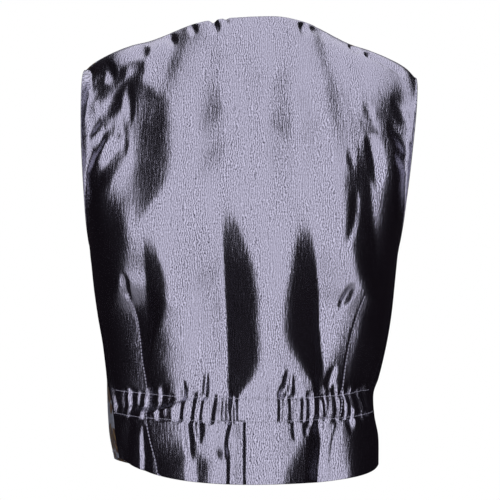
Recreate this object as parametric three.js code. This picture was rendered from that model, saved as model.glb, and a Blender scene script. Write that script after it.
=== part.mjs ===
// A suit waistcoat, filled out as worn but with nobody in it. The back is one piece of satin with two waist
// darts, drawn in by an elastic casing at the waist, and the two patterned fronts close with five buttons.
// Millimetres, +Z up. The front faces -Y and the wearer's left is +X. The origin is where the shoulders carry
// the garment: midway between the two shoulder seams' neck ends.
import * as THREE from "three";

// Driving dimensions of the garment.
const SHOULDER_HALF = 198; // from the centre to a shoulder tip
const NECK_HALF = 88; // from the centre to the neck end of a shoulder seam
const SHOULDER_RUN = 72; // degrees of turn that the top line's columns span, so that they stay upright
const RIDGE_Y = -5; // the shoulder seam runs just in front of the middle of the garment
const BACK_CLOTH = 1.3; // satin and its backing
const FRONT_CLOTH = 1.9; // patterned cloth and its backing
const SEAM_GAP = 0.4; // free space between two pieces at a seam
const OVERLAP = 17; // how far each front runs past the centre front
const LAP_RISE = 2.7; // the left front lies this far over the right one
const LAP_BLEND = 0.2; // share of a front's width over which it climbs on to the other
const CASING = { top: -429, bottom: -453 }; // the two stitched rows that hold the elastic
const BUTTON = { radius: 8, thick: 2.6, rim: 1.1, dish: 0.7, count: 5, topZ: -292, bottomZ: -492 };

const radians = THREE.MathUtils.degToRad;
const lerp = THREE.MathUtils.lerp;
const clamp01 = (t) => THREE.MathUtils.clamp(t, 0, 1);
const ease = (t) => clamp01(t) ** 2 * (3 - 2 * clamp01(t));

// Horizontal sections of the filled garment, from below the hem up to the armholes: half widths to the
// wearer's left and right, depth of the back and front from the side line, how square each section is,
// and how far the side seams lie behind the side line, because the elastic pulls the left one back.
const TORSO = [
  { z: -550, left: 155, right: 151, back: 101, front: 118, square: 0.01, seamLeft: 30, seamRight: 5 },
  { z: -528, left: 158, right: 152.5, back: 99, front: 118, square: 0.01, seamLeft: 30, seamRight: 5 },
  { z: -505, left: 162, right: 153, back: 96, front: 117, square: 0, seamLeft: 30, seamRight: 5 },
  { z: -480, left: 167, right: 152.5, back: 91, front: 115, square: 0, seamLeft: 29, seamRight: 5 },
  { z: -456, left: 169, right: 148, back: 87, front: 113, square: 0, seamLeft: 27, seamRight: 5 },
  { z: -430, left: 170, right: 147, back: 86, front: 112, square: 0, seamLeft: 20, seamRight: 4 },
  { z: -412, left: 170.5, right: 153, back: 89, front: 112, square: 0, seamLeft: 8, seamRight: 3 },
  { z: -375, left: 175, right: 162, back: 95, front: 115, square: 0, seamLeft: -1, seamRight: 0 },
  { z: -338, left: 181.5, right: 168.5, back: 101, front: 119, square: 0.01, seamLeft: -2, seamRight: -2 },
  { z: -297, left: 187, right: 173, back: 107, front: 123, square: 0.04, seamLeft: -3, seamRight: -3 },
  { z: -255, left: 190.5, right: 177, back: 112, front: 125, square: 0.07, seamLeft: -3, seamRight: -3 },
  { z: -215, left: 191, right: 180, back: 114, front: 124, square: 0.08, seamLeft: -3, seamRight: -3 },
];

// Rows of points up the garment: their height at the centre back, the two side seams and the centre front, how
// much further down each front's point hangs, and how far the back is pulled in at a stitched row or puffs out.
const ROWS = [
  { back: -528, left: -504, right: -514, front: -524, point: 22, push: 0 },
  { back: -508, left: -491, right: -498, front: -507, point: 13, push: 0 },
  { back: -484, left: -474, right: -477, front: -484, point: 5, push: 0 },
  { back: -470, left: -462, right: -463, front: -469, point: 0, push: 0 },
  { back: -457, left: -451, right: -450, front: -455, point: 0, push: -0.5 },
  { back: -444, left: -438, right: -438, front: -442, point: 0, push: 1.2 },
  { back: -431, left: -425, right: -426, front: -429, point: 0, push: -0.5 },
  { back: -419, left: -414, right: -415, front: -418, point: 0, push: 0 },
  { back: -403, left: -400, right: -400, front: -403, point: 0, push: 0 },
  { back: -378, left: -376, right: -376, front: -379, point: 0, push: 0 },
  { back: -346, left: -345, right: -345, front: -353, point: 0, push: 0 },
  { back: -315, left: -314, right: -314, front: -326, point: 0, push: 0 },
  { back: -285, left: -284, right: -284, front: -300, point: 0, push: 0 },
  { back: -255, left: -255, right: -255, front: -275, point: 0, push: 0 },
];
const POINT_AT = 0.75; // share of a front's width at which its hem comes to a point

// Shares of the way from the armholes' foot up to the shoulders at which the upper rows lie.
const UPPER_ROWS = [0.11, 0.22, 0.34, 0.46, 0.58, 0.7, 0.81, 0.91, 1];

// The top line, seen from behind: the neckline, then the shoulders, of which the right one falls lower.
const TOP_LINE = [
  { x: 0, y: 36, left: 14, right: 14 },
  { x: 30, y: 33, left: 12, right: 14.5 },
  { x: 52, y: 25, left: 10, right: 12.5 },
  { x: 70, y: 12, left: 6.5, right: 8.5 },
  { x: 88, y: RIDGE_Y, left: 1, right: 1 },
  { x: 118, y: RIDGE_Y, left: -10.5, right: -14 },
  { x: 142, y: RIDGE_Y, left: -16.5, right: -22 },
  { x: 166, y: RIDGE_Y, left: -26, right: -32 },
  { x: 186, y: RIDGE_Y, left: -37, right: -43.5 },
  { x: SHOULDER_HALF, y: RIDGE_Y, left: -47.5, right: -57 },
];

// How the back leaves the top line and arrives at the armhole level, from the centre (0) to the armhole (1).
const YOKE = [
  { across: 0, leaveIn: 0, leaveBack: 58, leaveDown: 50, arriveIn: 0, arriveUp: 88 },
  { across: 0.14, leaveIn: 0, leaveBack: 61, leaveDown: 48, arriveIn: 0, arriveUp: 88 },
  { across: 0.2, leaveIn: 0, leaveBack: 68, leaveDown: 45, arriveIn: 0, arriveUp: 89 },
  { across: 0.27, leaveIn: 0, leaveBack: 82, leaveDown: 38, arriveIn: 0, arriveUp: 91 },
  { across: 0.34, leaveIn: 0, leaveBack: 99, leaveDown: 30, arriveIn: 0, arriveUp: 93 },
  { across: 0.41, leaveIn: 0, leaveBack: 100, leaveDown: 22, arriveIn: 2, arriveUp: 95 },
  { across: 0.48, leaveIn: 0, leaveBack: 100, leaveDown: 18, arriveIn: 6, arriveUp: 96 },
  { across: 0.7, leaveIn: 0, leaveBack: 101, leaveDown: 13, arriveIn: 32, arriveUp: 90 },
  { across: 0.88, leaveIn: 1, leaveBack: 103, leaveDown: 11, arriveIn: 67, arriveUp: 72 },
  { across: 1, leaveIn: 3, leaveBack: 109, leaveDown: 10, arriveIn: 104, arriveUp: 50 },
];

// The same for a front, from its armhole edge (0) to its neck edge (1).
const CHEST = [
  { across: 0, leaveIn: 30, leaveFront: 52, leaveDown: 22, arriveIn: 66, arriveUp: 26 },
  { across: 0.35, leaveIn: 22, leaveFront: 58, leaveDown: 18, arriveIn: 26, arriveUp: 84 },
  { across: 0.7, leaveIn: 20, leaveFront: 62, leaveDown: 22, arriveIn: -14, arriveUp: 94 },
  { across: 1, leaveIn: 30, leaveFront: 60, leaveDown: 50, arriveIn: -40, arriveUp: 92 },
];

// Long soft troughs in the back, each along a curve through three places between its two heights. toLeft and
// toRight are how far its two slopes reach to either side. It fades in over fadeTop and out over fadeFoot.
const BACK_TROUGHS = [
  { xTop: 34, xMid: 31, xFoot: 26, zTop: -176, zFoot: -456, depth: 20, toLeft: 70, toRight: 42, fadeTop: 120, fadeFoot: 60 },
  { xTop: -60, xMid: -84, xFoot: -88, zTop: -194, zFoot: -456, depth: 18, toLeft: 42, toRight: 46, fadeTop: 120, fadeFoot: 90 },
  { xTop: 124, xMid: 127, xFoot: 113, zTop: -244, zFoot: -450, depth: 12, toLeft: 20, toRight: 36, fadeTop: 90, fadeFoot: 40 },
  { xTop: 134, xMid: 121, xFoot: 132, zTop: -50, zFoot: -240, depth: 10, toLeft: 26, toRight: 30, fadeTop: 70, fadeFoot: 80 },
  { xTop: -132, xMid: -155, xFoot: -154, zTop: -118, zFoot: -300, depth: 6, toLeft: 22, toRight: 44, fadeTop: 60, fadeFoot: 60 },
  { xTop: 27, xMid: 32, xFoot: 32, zTop: -452, zFoot: -570, depth: 6, toLeft: 20, toRight: 16, fadeTop: 20, fadeFoot: 8 },
  { xTop: -79, xMid: -82, xFoot: -82, zTop: -452, zFoot: -570, depth: 9, toLeft: 34, toRight: 12, fadeTop: 20, fadeFoot: 8 },
  { xTop: 98, xMid: 94, xFoot: 92, zTop: -452, zFoot: -570, depth: 5, toLeft: 26, toRight: 20, fadeTop: 24, fadeFoot: 8 },
  { xTop: -120, xMid: -124, xFoot: -126, zTop: -452, zFoot: -570, depth: 5, toLeft: 16, toRight: 20, fadeTop: 24, fadeFoot: 8 },
];

// The two waist darts: each is sewn into a fine groove from its point down to the hem.
const DARTS = [
  { xTop: 138, xMid: 118, xFoot: 96, zTop: -312, zFoot: -570, depth: 2.2, toLeft: 6, toRight: 6, fadeTop: 40, fadeFoot: 1 },
  { xTop: -130, xMid: -106, xFoot: -98, zTop: -306, zFoot: -570, depth: 2.2, toLeft: 6, toRight: 6, fadeTop: 40, fadeFoot: 1 },
];

// Soft drag folds in the fronts, as seen from the front, given for the left one and mirrored for the right.
const FRONT_TROUGHS = [
  { xTop: 124, xMid: 92, xFoot: 66, zTop: -160, zFoot: -340, depth: 3, toLeft: 28, toRight: 28, fadeTop: 60, fadeFoot: 60 },
  { xTop: 144, xMid: 136, xFoot: 132, zTop: -300, zFoot: -570, depth: 5, toLeft: 28, toRight: 24, fadeTop: 90, fadeFoot: 20 },
  { xTop: 74, xMid: 80, xFoot: 84, zTop: -320, zFoot: -570, depth: 4, toLeft: 24, toRight: 26, fadeTop: 90, fadeFoot: 20 },
];

// Gathers that the elastic draws up, by the place of each valley on the casing. up and down say how far the
// valley runs above and below the casing before it fades.
const GATHERS = [
  { x: 156, depth: 1.6, up: 10, down: 14 },
  { x: 148, depth: 1.9, up: 16, down: 18 },
  { x: 139, depth: 2.4, up: 24, down: 14 },
  { x: 129, depth: 2.6, up: 18, down: 40 },
  { x: 119, depth: 2.6, up: 26, down: 22 },
  { x: 108, depth: 3.2, up: 20, down: 30 },
  { x: 98, depth: 2.8, up: 14, down: 36 },
  { x: 88, depth: 2.8, up: 24, down: 18 },
  { x: 78, depth: 2.6, up: 14, down: 22 },
  { x: 69, depth: 2.4, up: 18, down: 30 },
  { x: 60, depth: 2.6, up: 34, down: 14 },
  { x: 50, depth: 2.8, up: 16, down: 24 },
  { x: 41, depth: 2.4, up: 22, down: 14 },
  { x: 32, depth: 2.6, up: 14, down: 30 },
  { x: 22, depth: 3.2, up: 46, down: 70 },
  { x: 11, depth: 2.8, up: 12, down: 80 },
  { x: 0, depth: 1.2, up: 8, down: 8 },
  { x: -12, depth: 1.2, up: 10, down: 8 },
  { x: -24, depth: 1.4, up: 12, down: 10 },
  { x: -36, depth: 2.6, up: 30, down: 12 },
  { x: -47, depth: 3.2, up: 34, down: 34 },
  { x: -58, depth: 3, up: 22, down: 18 },
  { x: -68, depth: 2.8, up: 16, down: 26 },
  { x: -78, depth: 3, up: 50, down: 60 },
  { x: -88, depth: 2.6, up: 16, down: 18 },
  { x: -97, depth: 2.4, up: 26, down: 24 },
  { x: -106, depth: 2.4, up: 14, down: 36 },
  { x: -115, depth: 2.4, up: 22, down: 18 },
  { x: -124, depth: 2.2, up: 12, down: 30 },
  { x: -132, depth: 1.8, up: 18, down: 16 },
  { x: -139, depth: 1.5, up: 10, down: 14 },
];
const GATHER_STEPS = 4; // columns of points from one gather's valley to the next

const FRONT_COLUMNS = 20;

// Smooth value of one column of a table, read at a place between its rows.
function along(table, by, place, column) {
  const last = table.length - 1;
  const rises = table[last][by] > table[0][by];
  let i = table.findIndex((row) => (rises ? row[by] >= place : row[by] <= place));
  i = i < 1 ? (i === 0 ? 1 : last) : i;
  const slope = (k) => {
    const a = table[Math.max(k - 1, 0)];
    const b = table[Math.min(k + 1, last)];
    return (b[column] - a[column]) / (b[by] - a[by]);
  };
  const [from, to] = [table[i - 1], table[i]];
  const span = to[by] - from[by];
  const t = clamp01((place - from[by]) / span);
  const [t2, t3] = [t * t, t * t * t];
  return (
    from[column] * (2 * t3 - 3 * t2 + 1) +
    slope(i - 1) * span * (t3 - 2 * t2 + t) +
    to[column] * (3 * t2 - 2 * t3) +
    slope(i) * span * (t3 - t2)
  );
}

// A point of the filled garment's section at height z: angle 0 is the centre back, growing to the wearer's left.
function torso(z, angle) {
  const read = (column) => along(TORSO, "z", z, column);
  const square = read("square");
  const half = Math.sin(angle) > 0 ? read("left") : read("right");
  const depth = Math.cos(angle) > 0 ? read("back") : read("front");
  const x = half * ((1 + square) * Math.sin(angle) + square * Math.sin(3 * angle));
  const y = depth * ((1 + square) * Math.cos(angle) - square * Math.cos(3 * angle));
  return new THREE.Vector3(x, y, z);
}

// The angle at which a side seam lies. side is +1 on the wearer's left and -1 on the right.
function seamAngle(z, side) {
  const behind = along(TORSO, "z", z, side > 0 ? "seamLeft" : "seamRight");
  return side * (Math.PI / 2 - Math.asin(behind / along(TORSO, "z", z, "back")));
}

function topLine(x) {
  const read = (column) => along(TOP_LINE, "x", Math.abs(x), column);
  return new THREE.Vector3(x, read("y"), read(x > 0 ? "left" : "right"));
}

// How deep one trough is at a place on the cloth. Its two slopes meet in a crease and run out softly.
function troughDepth(trough, x, z) {
  const down = clamp01((trough.zTop - z) / (trough.zTop - trough.zFoot));
  const bow = 4 * down * (1 - down) * (trough.xMid - (trough.xTop + trough.xFoot) / 2);
  const middle = lerp(trough.xTop, trough.xFoot, down) + bow;
  const reach = x > middle ? trough.toLeft : trough.toRight;
  const share = 1 - clamp01(Math.abs(x - middle) / reach);
  const ends = ease((trough.zTop - z) / trough.fadeTop) * ease((z - trough.zFoot) / trough.fadeFoot);
  return trough.depth * share ** 1.25 * ends;
}

const troughs = (table, x, z) => table.reduce((sum, trough) => sum + troughDepth(trough, x, z), 0);

// A gather's valley depth at height z: full within the casing, fading above and below it.
function gatherDepth(gather, z) {
  const above = ease(1 - (z - CASING.top) / gather.up);
  const below = ease(1 - (CASING.bottom - z) / gather.down);
  return gather.depth * Math.min(above, below);
}

// The back's columns: each gather's valley, its crest and the slopes between, as angles on the casing.
function backColumns() {
  const casingZ = (CASING.top + CASING.bottom) / 2;
  const edge = { left: seamAngle(casingZ, 1), right: seamAngle(casingZ, -1) };
  const angleAt = (x) => {
    let [low, high] = [-Math.PI / 2, Math.PI / 2];
    for (let i = 0; i < 40; i++) {
      const middle = (low + high) / 2;
      if (torso(casingZ, middle).x < x) low = middle;
      else high = middle;
    }
    return low;
  };
  const valleys = [
    { share: 1, gather: null },
    ...GATHERS.map((gather) => {
      const angle = angleAt(gather.x);
      return { share: angle > 0 ? angle / edge.left : -angle / edge.right, gather };
    }),
    { share: -1, gather: null },
  ];
  const columns = [];
  valleys.slice(1).forEach((next, i) => {
    const from = valleys[i];
    for (let step = 0; step < GATHER_STEPS; step++) {
      const t = step / GATHER_STEPS;
      columns.push({ share: lerp(from.share, next.share, t), from: from.gather, to: next.gather, t });
    }
  });
  columns.push({ share: -1, from: null, to: null, t: 0 });
  return columns;
}

// How far a column lies in its gathers' valleys at height z.
function gathered(column, z) {
  const valley = (gather, t) => (gather ? gatherDepth(gather, z) * (0.5 + 0.5 * Math.cos(2 * Math.PI * Math.min(t, 0.5))) : 0);
  return valley(column.from, column.t) + valley(column.to, 1 - column.t);
}

// Outward normal of a grid of points, from its neighbours. Along the shoulder seams it stays upright, so that
// the two walls meet there face to face.
function normalAt(grid, i, j) {
  const rows = grid.length - 1;
  const columns = grid[0].length - 1;
  const up = grid[Math.min(i + 1, rows)][j].clone().sub(grid[Math.max(i - 1, 0)][j]);
  const across = grid[i][Math.min(j + 1, columns)].clone().sub(grid[i][Math.max(j - 1, 0)]);
  const normal = across.cross(up);
  if (i === rows && Math.abs(grid[i][j].x) > NECK_HALF - 8) normal.setY(0);
  return normal.normalize();
}

// A closed wall from a grid of outer points: push(i, j) moves a point out, and the inside lies one cloth below.
function clothWall(grid, thick, push) {
  const rows = grid.length;
  const columns = grid[0].length;
  const points = [];
  const layers = [0, -thick].map((shift) =>
    grid.map((row, i) =>
      row.map((point, j) => {
        const moved = point.clone().addScaledVector(normalAt(grid, i, j), push(i, j) + shift);
        return points.push(moved) - 1;
      }),
    ),
  );
  const [outer, inner] = layers;
  const faces = [];
  const quad = (a, b, c, d) => faces.push(a, c, b, a, d, c);
  for (let i = 0; i < rows - 1; i++)
    for (let j = 0; j < columns - 1; j++) {
      quad(outer[i][j], outer[i + 1][j], outer[i + 1][j + 1], outer[i][j + 1]);
      quad(inner[i][j], inner[i][j + 1], inner[i + 1][j + 1], inner[i + 1][j]);
    }
  for (let j = 0; j < columns - 1; j++) {
    quad(outer[0][j], outer[0][j + 1], inner[0][j + 1], inner[0][j]);
    quad(outer[rows - 1][j + 1], outer[rows - 1][j], inner[rows - 1][j], inner[rows - 1][j + 1]);
  }
  for (let i = 0; i < rows - 1; i++) {
    quad(outer[i + 1][0], outer[i][0], inner[i][0], inner[i + 1][0]);
    quad(outer[i][columns - 1], outer[i + 1][columns - 1], inner[i + 1][columns - 1], inner[i][columns - 1]);
  }
  const geometry = new THREE.BufferGeometry();
  geometry.setAttribute("position", new THREE.Float32BufferAttribute(points.flatMap((p) => p.toArray()), 3));
  geometry.setIndex(faces);
  geometry.computeVertexNormals();
  return geometry;
}

// Where a curve over the yoke or chest turns up from the rows below it: onward in their direction, and inward
// along the top row by the length given, so that the surface stays smooth there.
function arrival(foot, below, inward, up, along) {
  const onward = foot.clone().sub(below).setLength(up);
  const aside = inward.clone().sub(foot).setLength(along);
  return foot.clone().add(onward).add(along ? aside : new THREE.Vector3());
}

// The back without its folds: rows of the torso below, and curves from the armhole level over the yoke above.
function backGrid(columns) {
  const armholeRow = ROWS.length - 1;
  const place = (i, share) => {
    const z = lerp(ROWS[i].back, share > 0 ? ROWS[i].left : ROWS[i].right, share * share);
    return torso(z, Math.abs(share) * seamAngle(z, Math.sign(share) || 1));
  };
  const lower = ROWS.map((_, i) => columns.map(({ share }) => place(i, share)));
  const curves = columns.map(({ share }) => {
    const turn = radians(SHOULDER_RUN);
    const top = topLine((SHOULDER_HALF * Math.sin(share * turn)) / Math.sin(turn));
    const foot = place(armholeRow, share);
    const read = (column) => along(YOKE, "across", Math.abs(share), column);
    const leave = new THREE.Vector3(-Math.sign(share) * read("leaveIn"), read("leaveBack"), -read("leaveDown"));
    const inward = place(armholeRow, share - 0.02 * Math.sign(share));
    const arrive = arrival(foot, place(armholeRow - 1, share), inward, read("arriveUp"), read("arriveIn"));
    return new THREE.CubicBezierCurve3(foot, arrive, top.clone().add(leave), top);
  });
  const upper = UPPER_ROWS.map((t) => curves.map((curve) => curve.getPoint(t)));
  return [...lower, ...upper];
}

function back() {
  const columns = backColumns();
  const grid = backGrid(columns);
  const push = (i, j) => {
    const { x, z } = grid[i][j];
    const sides = ease((1 - Math.abs(columns[j].share)) / 0.1);
    const folds = troughs(BACK_TROUGHS, x, z) + troughs(DARTS, x, z) + gathered(columns[j], z);
    const casing = i < ROWS.length ? ROWS[i].push : 0;
    return sides * (casing - folds);
  };
  return clothWall(grid, BACK_CLOTH, push);
}

// A front without its folds, for side +1 (the wearer's left) or -1. It runs from the side seam round to its
// edge, which is past the centre front.
function frontGrid(side) {
  const armholeRow = ROWS.length - 1;
  const shares = Array.from({ length: FRONT_COLUMNS + 1 }, (_, j) => j / FRONT_COLUMNS);
  const place = (i, share) => {
    const row = ROWS[i];
    const level = lerp(side > 0 ? row.left : row.right, row.front, ease(share));
    const gap = SEAM_GAP / along(TORSO, "z", level, "back");
    const pastCentre = OVERLAP / along(TORSO, "z", level, "left");
    const from = Math.abs(seamAngle(level, side)) + gap;
    const angle = side * lerp(from, Math.PI + pastCentre, share);
    const hang = share < POINT_AT ? (share / POINT_AT) ** 1.3 : (1 - share) / (1 - POINT_AT);
    return torso(level, angle).setZ(level - row.point * hang);
  };
  const lower = ROWS.map((_, i) => shares.map((share) => place(i, share)));
  const curves = shares.map((share) => {
    const top = topLine(side * lerp(SHOULDER_HALF, NECK_HALF, share));
    top.y -= 1.5 * SEAM_GAP;
    const foot = place(armholeRow, share);
    const read = (column) => along(CHEST, "across", share, column);
    const leave = new THREE.Vector3(-side * read("leaveIn"), -read("leaveFront"), -read("leaveDown"));
    const inward = place(armholeRow, share + 0.02);
    const arrive = arrival(foot, place(armholeRow - 1, share), inward, read("arriveUp"), read("arriveIn"));
    return new THREE.CubicBezierCurve3(foot, arrive, top.clone().add(leave), top);
  });
  const upper = UPPER_ROWS.map((t) => curves.map((curve) => curve.getPoint(t)));
  const grid = [...lower, ...upper];
  return side > 0 ? grid.map((row) => row.reverse()) : grid;
}

// How far a front is pushed out at a place on it: its drag folds, and the left one's climb over the right one.
function frontPush(side, point, share) {
  const sides = ease(share / 0.1);
  const shoulder = ease((-point.z - 30) / 90);
  const folds = troughs(FRONT_TROUGHS, point.x * side, point.z) * sides * shoulder;
  const lap = side > 0 ? LAP_RISE * ease((share - (1 - 2 * LAP_BLEND)) / LAP_BLEND) : 0;
  return lap * ease((-point.z - 100) / 100) - folds;
}

function front(side) {
  const grid = frontGrid(side);
  const shareAt = (j) => (side > 0 ? FRONT_COLUMNS - j : j) / FRONT_COLUMNS;
  return clothWall(grid, FRONT_CLOTH, (i, j) => frontPush(side, grid[i][j], shareAt(j)));
}

// A turned button: a disc with a raised rim round a shallow dish.
function buttonGeometry() {
  const { radius, thick, rim, dish } = BUTTON;
  const profile = [
    [0, 0],
    [radius - 1.2, 0],
    [radius, 1],
    [radius, thick - 0.7],
    [radius - rim * 0.5, thick],
    [radius - rim * 1.3, thick],
    [radius - rim * 2.2, thick - dish],
    [0, thick - dish],
  ];
  return new THREE.LatheGeometry(
    profile.map(([r, h]) => new THREE.Vector2(r, h)),
    24,
  );
}

// Buttons stand on the left front's centre line, each square to the cloth under it.
function button(number) {
  const z = lerp(BUTTON.topZ, BUTTON.bottomZ, number / (BUTTON.count - 1));
  const below = torso(z - 4, Math.PI);
  const above = torso(z + 4, Math.PI);
  const out = above.clone().sub(below).cross(new THREE.Vector3(-1, 0, 0)).normalize();
  const mesh = new THREE.Mesh(buttonGeometry(), finishes.button);
  mesh.position.copy(torso(z, Math.PI)).addScaledVector(out, LAP_RISE + SEAM_GAP + 0.2);
  mesh.quaternion.setFromUnitVectors(new THREE.Vector3(0, 1, 0), out);
  return mesh;
}

const finishes = {
  satin: new THREE.MeshStandardMaterial({ color: 0x5c5867, roughness: 0.35, metalness: 0.1 }),
  brocade: new THREE.MeshStandardMaterial({ color: 0x6b6258, roughness: 0.8, metalness: 0 }),
  button: new THREE.MeshStandardMaterial({ color: 0x2a211c, roughness: 0.35, metalness: 0 }),
};

const waistcoat = new THREE.Group();
const add = (name, mesh) => {
  mesh.name = name;
  waistcoat.add(mesh);
};
add("back", new THREE.Mesh(back(), finishes.satin));
add("front_left", new THREE.Mesh(front(1), finishes.brocade));
add("front_right", new THREE.Mesh(front(-1), finishes.brocade));
for (let number = 0; number < BUTTON.count; number++) add(`button_${number + 1}`, button(number));

export default waistcoat;
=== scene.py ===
# %% [markdown]
# # A suit waistcoat, seen from behind
# The garment is filled out as if somebody wore it, with nobody inside. Its back is one piece of satin
# with two darts and an elastic casing at the waist, and its patterned fronts close with five buttons.
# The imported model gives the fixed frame: every piece built here takes the place of a node of it.

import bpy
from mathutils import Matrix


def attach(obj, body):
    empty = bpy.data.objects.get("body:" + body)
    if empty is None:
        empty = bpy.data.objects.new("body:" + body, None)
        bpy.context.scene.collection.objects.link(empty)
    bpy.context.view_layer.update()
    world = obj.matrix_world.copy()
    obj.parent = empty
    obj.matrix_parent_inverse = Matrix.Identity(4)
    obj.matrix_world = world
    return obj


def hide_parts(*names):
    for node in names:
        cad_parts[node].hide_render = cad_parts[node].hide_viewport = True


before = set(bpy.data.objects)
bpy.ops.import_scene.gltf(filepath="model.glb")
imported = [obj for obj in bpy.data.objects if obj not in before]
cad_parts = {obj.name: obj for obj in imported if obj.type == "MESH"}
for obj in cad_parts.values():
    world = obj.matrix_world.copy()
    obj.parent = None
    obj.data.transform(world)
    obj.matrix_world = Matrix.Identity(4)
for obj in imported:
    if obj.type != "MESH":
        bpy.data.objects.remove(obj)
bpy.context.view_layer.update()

# %% [markdown]
# The tables below are in millimetres, as a pattern cutter writes them, with +Z up, the front towards
# -Y and the wearer's left towards +X. Blender works in metres, so one factor turns them.

# %% Tools and units
import math
from collections import namedtuple

import bpy
import numpy as np

MM = 0.001
rng = np.random.default_rng(7)

# %% [markdown]
# ## Camera, light and floor
# The photograph looks straight at the back from chest height, so the camera is level and sits on +Y.
# Its lens makes 500 pixels span 595 mm at the middle of the garment.

# %% Camera
CAMERA_AWAY = 2.5
CAMERA_HEIGHT = -0.26
PICTURE_WIDTH = 0.595
SENSOR = 36.0

camera_data = bpy.data.cameras.new("camera")
camera_data.sensor_width = SENSOR
camera_data.lens = SENSOR * CAMERA_AWAY / PICTURE_WIDTH
camera = bpy.data.objects.new("camera", camera_data)
camera.location = (0, CAMERA_AWAY, CAMERA_HEIGHT)
camera.rotation_euler = (math.radians(90), 0, math.radians(180))
bpy.context.scene.collection.objects.link(camera)
bpy.context.scene.camera = camera
print("lens", round(camera_data.lens, 1), "mm")

# %% [markdown]
# Satin shows the room more than its own colour. In the photograph it is bright wherever it faces the
# camera within about 20 degrees, to the left and right, and dark where it turns away. A wide soft light
# behind the camera, with dark surroundings at its sides, gives exactly that. A second panel overhead
# lights the yoke. The lamp for the fronts isn't mirrored by anything. All lamps share one faint cool
# tint, so that no reflection in the satin differs in hue from its neighbour.

# %% Soft lights
LAMP_TINT = (0.89, 0.877, 1.0)
Panel = namedtuple("Panel", "name place turn wide high radiance glossy")
PANELS = [
    Panel("behind_camera", (0, 3.0, -1.4), (-90, 0, 0), 4.5, 6.2, 1.0, True),
    Panel("overhead", (-0.15, -0.4, 1.75), (0, 0, 0), 2.3, 7.0, 1.0, True),
    Panel("front_fill", (0, -3.0, 0.3), (90, 0, 0), 3.0, 2.4, 2.6, False),
]
for panel in PANELS:
    lamp_data = bpy.data.lights.new(panel.name, "AREA")
    lamp_data.shape = "RECTANGLE"
    lamp_data.size = panel.wide
    lamp_data.size_y = panel.high
    lamp_data.color = LAMP_TINT
    lamp_data.energy = panel.radiance / LAMP_TINT[0] * math.pi * panel.wide * panel.high
    lamp = bpy.data.objects.new(panel.name, lamp_data)
    lamp.location = panel.place
    lamp.rotation_euler = [math.radians(angle) for angle in panel.turn]
    lamp.visible_camera = False
    lamp.visible_glossy = panel.glossy
    bpy.context.scene.collection.objects.link(lamp)
    print(panel.name, round(lamp_data.energy, 1), "W")

# %% [markdown]
# One small function adds a node with its settings and links: plain values set its sockets or options,
# and an output of another node is linked. Colours are written as sRGB hex and turned to linear light.


# %% Node helper and colours
def node(tree, kind, inputs=None, **options):
    made = tree.nodes.new(kind)
    for option, value in options.items():
        setattr(made, option, value)
    for socket, value in (inputs or {}).items():
        if isinstance(value, bpy.types.NodeSocket):
            tree.links.new(value, made.inputs[socket])
        else:
            made.inputs[socket].default_value = value
    return made


def linear(hex_colour):
    parts = [int(hex_colour[i:i + 2], 16) / 255 for i in (1, 3, 5)]
    return tuple(c / 12.92 if c <= 0.04045 else ((c + 0.055) / 1.055) ** 2.4 for c in parts) + (1.0,)


# %% [markdown]
# Three short forms of it: a mix of two colours, one step of arithmetic, and a texture's cells stretched
# to a real width and length in metres. A wave texture of scale 1 has 3.2 waves to the unit.


# %% Colours, sums and cells
def blend(tree, share, low, high):
    return node(tree, "ShaderNodeMix", {0: share, 6: low, 7: high}, data_type="RGBA").outputs[2]


def figure(tree, operation, *values, **options):
    return node(tree, "ShaderNodeMath", dict(enumerate(values)), operation=operation, **options).outputs[0]


def cells(tree, place, wide, long):
    scale = (1 / wide, 1 / long, 1)
    return node(tree, "ShaderNodeMapping", {"Vector": place, "Scale": scale}).outputs[0]


WAVES_TO_THE_UNIT = 3.2


# %% [markdown]
# The world is pale where the camera looks straight at it, and dim for everything else, so that it
# doesn't fill the dark sides of the satin.

# %% World
ROOM_DIM = 0.008
world = bpy.data.worlds.new("room")
world.use_nodes = True
bpy.context.scene.world = world
tree = world.node_tree
tree.nodes.clear()
seen = node(tree, "ShaderNodeBackground", {"Color": linear("#ffffff"), "Strength": 1.0})
around = node(tree, "ShaderNodeBackground", {"Color": linear("#ffdcff"), "Strength": ROOM_DIM})
path = node(tree, "ShaderNodeLightPath")
shown = path.outputs["Is Camera Ray"]
mix = node(tree, "ShaderNodeMixShader", {0: shown, 1: around.outputs[0], 2: seen.outputs[0]})
node(tree, "ShaderNodeOutputWorld", {"Surface": mix.outputs[0]})
bpy.context.scene.view_settings.view_transform = "Standard"

# %% Floor
FLOOR_LEVEL = -4.55
FLOOR_HALF = 2.9
floor_mesh = bpy.data.meshes.new("floor")
corners = [(x * FLOOR_HALF, y * FLOOR_HALF, FLOOR_LEVEL) for x, y in ((-1, -1), (1, -1), (1, 1), (-1, 1))]
floor_mesh.from_pydata(corners, [], [(0, 1, 2, 3)])
floor = bpy.data.objects.new("floor", floor_mesh)
bpy.context.scene.collection.objects.link(floor)
paint = bpy.data.materials.new("matt_white_floor_paint")
paint.use_nodes = True
tree = paint.node_tree
shader = tree.nodes["Principled BSDF"]
shader.inputs["Roughness"].default_value = 0.9
speckle = node(tree, "ShaderNodeTexNoise", {"Scale": 3.0, "Detail": 2.0})
tone = blend(tree, speckle.outputs[0], linear("#eeeeec"), linear("#f6f6f4"))
tree.links.new(tone, shader.inputs["Base Color"])
floor_mesh.materials.append(paint)

# %% [markdown]
# ## The form of the filled garment
# The waistcoat is described as a tailor's dummy would be: level sections from the hem to the armholes,
# each an ellipse made a little square, and curves that carry the cloth from there over the shoulders.

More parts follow.
